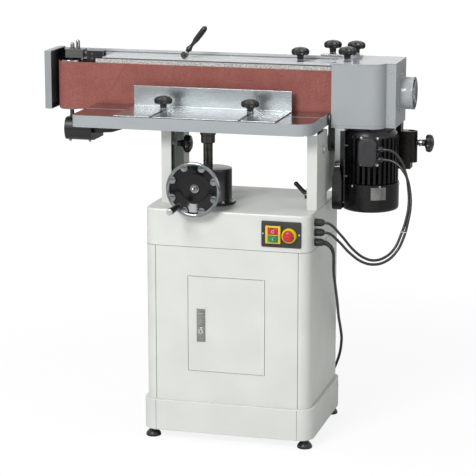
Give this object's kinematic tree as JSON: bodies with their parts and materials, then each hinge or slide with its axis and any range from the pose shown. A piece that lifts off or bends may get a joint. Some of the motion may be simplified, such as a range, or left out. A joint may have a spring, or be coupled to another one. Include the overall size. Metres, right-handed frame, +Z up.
{
  "type": "oscillating edge sander",
  "caption": "Oscillating belt edge sander: steel cabinet, handwheel-lifted table with fence, tilting head with belt, rollers, motor and dust outlet.",
  "frame": {"origin": "on the floor, at the middle of the machine's plan box, cords left out", "axes": "+X along the belt to the operator's right, -Y to the operator, +Z up"},
  "size_m": [1.2338, 0.7918, 1.2565],
  "materials": {
    "white_paint": "satin off-white powder coat",
    "grey_paint": "satin light grey hammered paint",
    "black_paint": "satin black paint",
    "black_plastic": "moulded black plastic",
    "rubber": "black rubber",
    "steel": "ground steel",
    "dark_steel": "blackened steel",
    "chrome": "polished chrome",
    "cast_iron": "ground iron with painted edges",
    "belt": "red-brown abrasive cloth",
    "graphite": "grey graphite cloth on a steel strip",
    "red": "red plastic",
    "green": "green plastic"
  },
  "bodies": {
    "stand": {"cabinet_shell": "white_paint", "cabinet_head": "white_paint", "plinth": "white_paint", "foot_front_left": "rubber", "foot_front_right": "rubber", "foot_rear_left": "rubber", "foot_rear_right": "rubber", "upright_left": "white_paint", "upright_right": "white_paint", "jack_case": "black_paint", "control_plate": "black_plastic", "gland_motor_upper": "black_plastic", "gland_motor_lower": "black_plastic", "gland_mains": "black_plastic", "motor_cable_upper": "rubber", "motor_cable_lower": "rubber", "mains_lead": "rubber", "mains_coil": "rubber", "mains_plug": "black_plastic"},
    "door": {"door": "white_paint"},
    "lock": {"door_lock": "steel"},
    "start": {"button_start": "green"},
    "stop": {"button_stop": "red"},
    "estop": {"estop_button": "red"},
    "table": {"table": "cast_iron", "lift_column": "dark_steel"},
    "gear": {"lift_gear": "steel"},
    "handwheel": {"handwheel": "chrome"},
    "grip": {"crank_grip": "black_plastic"},
    "guide_knob": {"guide_knob_left": "black_plastic"},
    "guide_lever": {"guide_lever_right": "black_plastic"},
    "fence": {"fence": "grey_paint"},
    "fence_knob_l": {"fence_knob_left": "black_plastic"},
    "fence_knob_r": {"fence_knob_right": "black_plastic"},
    "head": {"head_frame": "black_paint", "platen": "graphite", "rear_guard": "grey_paint", "end_cover": "grey_paint", "drum_cover": "grey_paint", "drum_housing": "grey_paint", "drum_lid": "grey_paint", "motor_plate": "grey_paint", "pull_handle": "black_plastic", "motor": "black_paint", "terminal_box": "black_paint", "osc_housing": "black_paint", "aux_holder": "dark_steel"},
    "tilt_knob": {"tilt_wing_knob": "black_plastic"},
    "drum": {"drive_drum": "steel"},
    "belt": {"abrasive_belt": "belt"},
    "carriage": {"idler_carriage": "dark_steel"},
    "idler_axle": {"idler_shaft": "steel"},
    "idler": {"idler_roller": "chrome"},
    "lever": {"tension_lever": "black_plastic"},
    "osc_gear": {"osc_wheel": "steel"},
    "tray_knob": {"knob_tray": "black_plastic"},
    "lid_knob": {"knob_lid": "black_plastic"},
    "strap_knob_l": {"knob_strap_left": "black_plastic"},
    "strap_knob_r": {"knob_strap_right": "black_plastic"},
    "aux_clamp": {"aux_knob": "black_plastic"}
  },
  "joints": [
    {"name": "door_hinge", "type": "hinge", "parent": "stand", "child": "door", "pos_m": [0.1719, -0.1564, 0.376], "axis": [0, 0, 1], "range_deg": [0, 110]},
    {"name": "door_lock_turn", "type": "hinge", "parent": "door", "child": "lock", "pos_m": [-0.0249, -0.1596, 0.354], "axis": [0, -1, 0], "range_deg": [0, 90]},
    {"name": "start_push", "type": "slide", "parent": "stand", "child": "start", "axis": [0, 1, 0], "range_m": [0, 0.003], "stiffness_N_per_m": 400, "springref_m": -0.001},
    {"name": "stop_push", "type": "slide", "parent": "stand", "child": "stop", "axis": [0, 1, 0], "range_m": [0, 0.003], "stiffness_N_per_m": 400, "springref_m": -0.001},
    {"name": "estop_push", "type": "slide", "parent": "stand", "child": "estop", "axis": [0, 1, 0], "range_m": [0, 0.004]},
    {"name": "table_lift", "type": "slide", "parent": "stand", "child": "table", "axis": [0, 0, 1], "range_m": [0, 0.085]},
    {"name": "handwheel_turn", "type": "hinge", "parent": "stand", "child": "handwheel", "pos_m": [-0.0389, -0.1596, 0.801], "axis": [0, 1, 0], "range_deg": [0, 6120]},
    {"name": "gear_turn", "type": "hinge", "parent": "stand", "child": "gear", "pos_m": [-0.0389, -0.0266, 0.783], "axis": [0, 0, 1], "range_deg": [0, 2160]},
    {"name": "grip_turn", "type": "hinge", "parent": "handwheel", "child": "grip", "pos_m": [-0.08417, -0.2456, 0.74893], "axis": [0, 1, 0], "continuous": true},
    {"name": "guide_knob_turn", "type": "hinge", "parent": "stand", "child": "guide_knob", "pos_m": [-0.1249, 0.0054, 0.906], "axis": [1, 0, 0], "range_deg": [0, 180]},
    {"name": "guide_lever_turn", "type": "hinge", "parent": "stand", "child": "guide_lever", "pos_m": [0.2751, 0.0054, 0.762], "axis": [-1, 0, 0], "range_deg": [0, 60]},
    {"name": "fence_slide", "type": "slide", "parent": "table", "child": "fence", "axis": [0, 1, 0], "range_m": [-0.034, 0.02]},
    {"name": "fence_knob_left_turn", "type": "hinge", "parent": "table", "child": "fence_knob_l", "pos_m": [-0.1859, -0.0116, 1.04], "axis": [0, 0, 1], "range_deg": [0, 180]},
    {"name": "fence_knob_right_turn", "type": "hinge", "parent": "table", "child": "fence_knob_r", "pos_m": [0.0911, -0.0116, 1.04], "axis": [0, 0, 1], "range_deg": [0, 180]},
    {"name": "head_tilt", "type": "hinge", "parent": "stand", "child": "head", "pos_m": [0.0698, 0.1854, 0.95], "axis": [-1, 0, 0], "range_deg": [0, 90], "deforming": ["motor_cable_upper", "motor_cable_lower"]},
    {"name": "tilt_knob_turn", "type": "hinge", "parent": "head", "child": "tilt_knob", "pos_m": [0.3251, 0.17251, 0.88935], "axis": [1, 0, 0], "range_deg": [0, 180]},
    {"name": "drum_spin", "type": "hinge", "parent": "head", "child": "drum", "pos_m": [0.4336, 0.1599, 1.059], "axis": [0, 0, 1], "continuous": true},
    {"name": "belt_oscillation", "type": "slide", "parent": "head", "child": "belt", "axis": [0, 0, 1], "range_m": [-0.003, 0.003]},
    {"name": "belt_tension", "type": "slide", "parent": "head", "child": "carriage", "axis": [1, 0, 0], "range_m": [0, 0.01]},
    {"name": "axle_oscillation", "type": "slide", "parent": "carriage", "child": "idler_axle", "axis": [0, 0, 1], "range_m": [-0.003, 0.003]},
    {"name": "idler_spin", "type": "hinge", "parent": "idler_axle", "child": "idler", "pos_m": [-0.5399, 0.1419, 1.059], "axis": [0, 0, 1], "continuous": true},
    {"name": "tension_lever_turn", "type": "hinge", "parent": "head", "child": "lever", "pos_m": [-0.1619, 0.1404, 1.1638], "axis": [0, -1, 0], "range_deg": [0, 76]},
    {"name": "osc_gear_turn", "type": "hinge", "parent": "head", "child": "osc_gear", "pos_m": [-0.5099, 0.1419, 0.909], "axis": [1, 0, 0], "continuous": true},
    {"name": "tray_knob_turn", "type": "hinge", "parent": "head", "child": "tray_knob", "pos_m": [0.2061, 0.1624, 1.18], "axis": [0, 0, 1], "range_deg": [0, 180]},
    {"name": "lid_knob_turn", "type": "hinge", "parent": "head", "child": "lid_knob", "pos_m": [0.3596, 0.1404, 1.19], "axis": [0, 0, 1], "range_deg": [0, 180]},
    {"name": "strap_knob_left_turn", "type": "hinge", "parent": "head", "child": "strap_knob_l", "pos_m": [0.2921, 0.2404, 1.195], "axis": [0, 0, 1], "range_deg": [0, 180]},
    {"name": "strap_knob_right_turn", "type": "hinge", "parent": "head", "child": "strap_knob_r", "pos_m": [0.3671, 0.2404, 1.195], "axis": [0, 0, 1], "range_deg": [0, 180]},
    {"name": "aux_knob_turn", "type": "hinge", "parent": "head", "child": "aux_clamp", "pos_m": [0.5951, 0.2404, 0.9], "axis": [1, 0, 0], "range_deg": [0, 180]}
  ],
  "couplings": [
    {"joint": "handwheel_turn", "follows": "table_lift", "rad_per_m": 1256.6},
    {"joint": "gear_turn", "follows": "table_lift", "rad_per_m": 439.82},
    {"joint": "idler_spin", "follows": "drum_spin", "ratio": 1.4557},
    {"joint": "osc_gear_turn", "follows": "drum_spin", "ratio": 0.025},
    {"joint": "tension_lever_turn", "follows": "belt_tension", "rad_per_m": 132.47},
    {"joint": "axle_oscillation", "follows": "belt_oscillation", "ratio": 1}
  ]
}
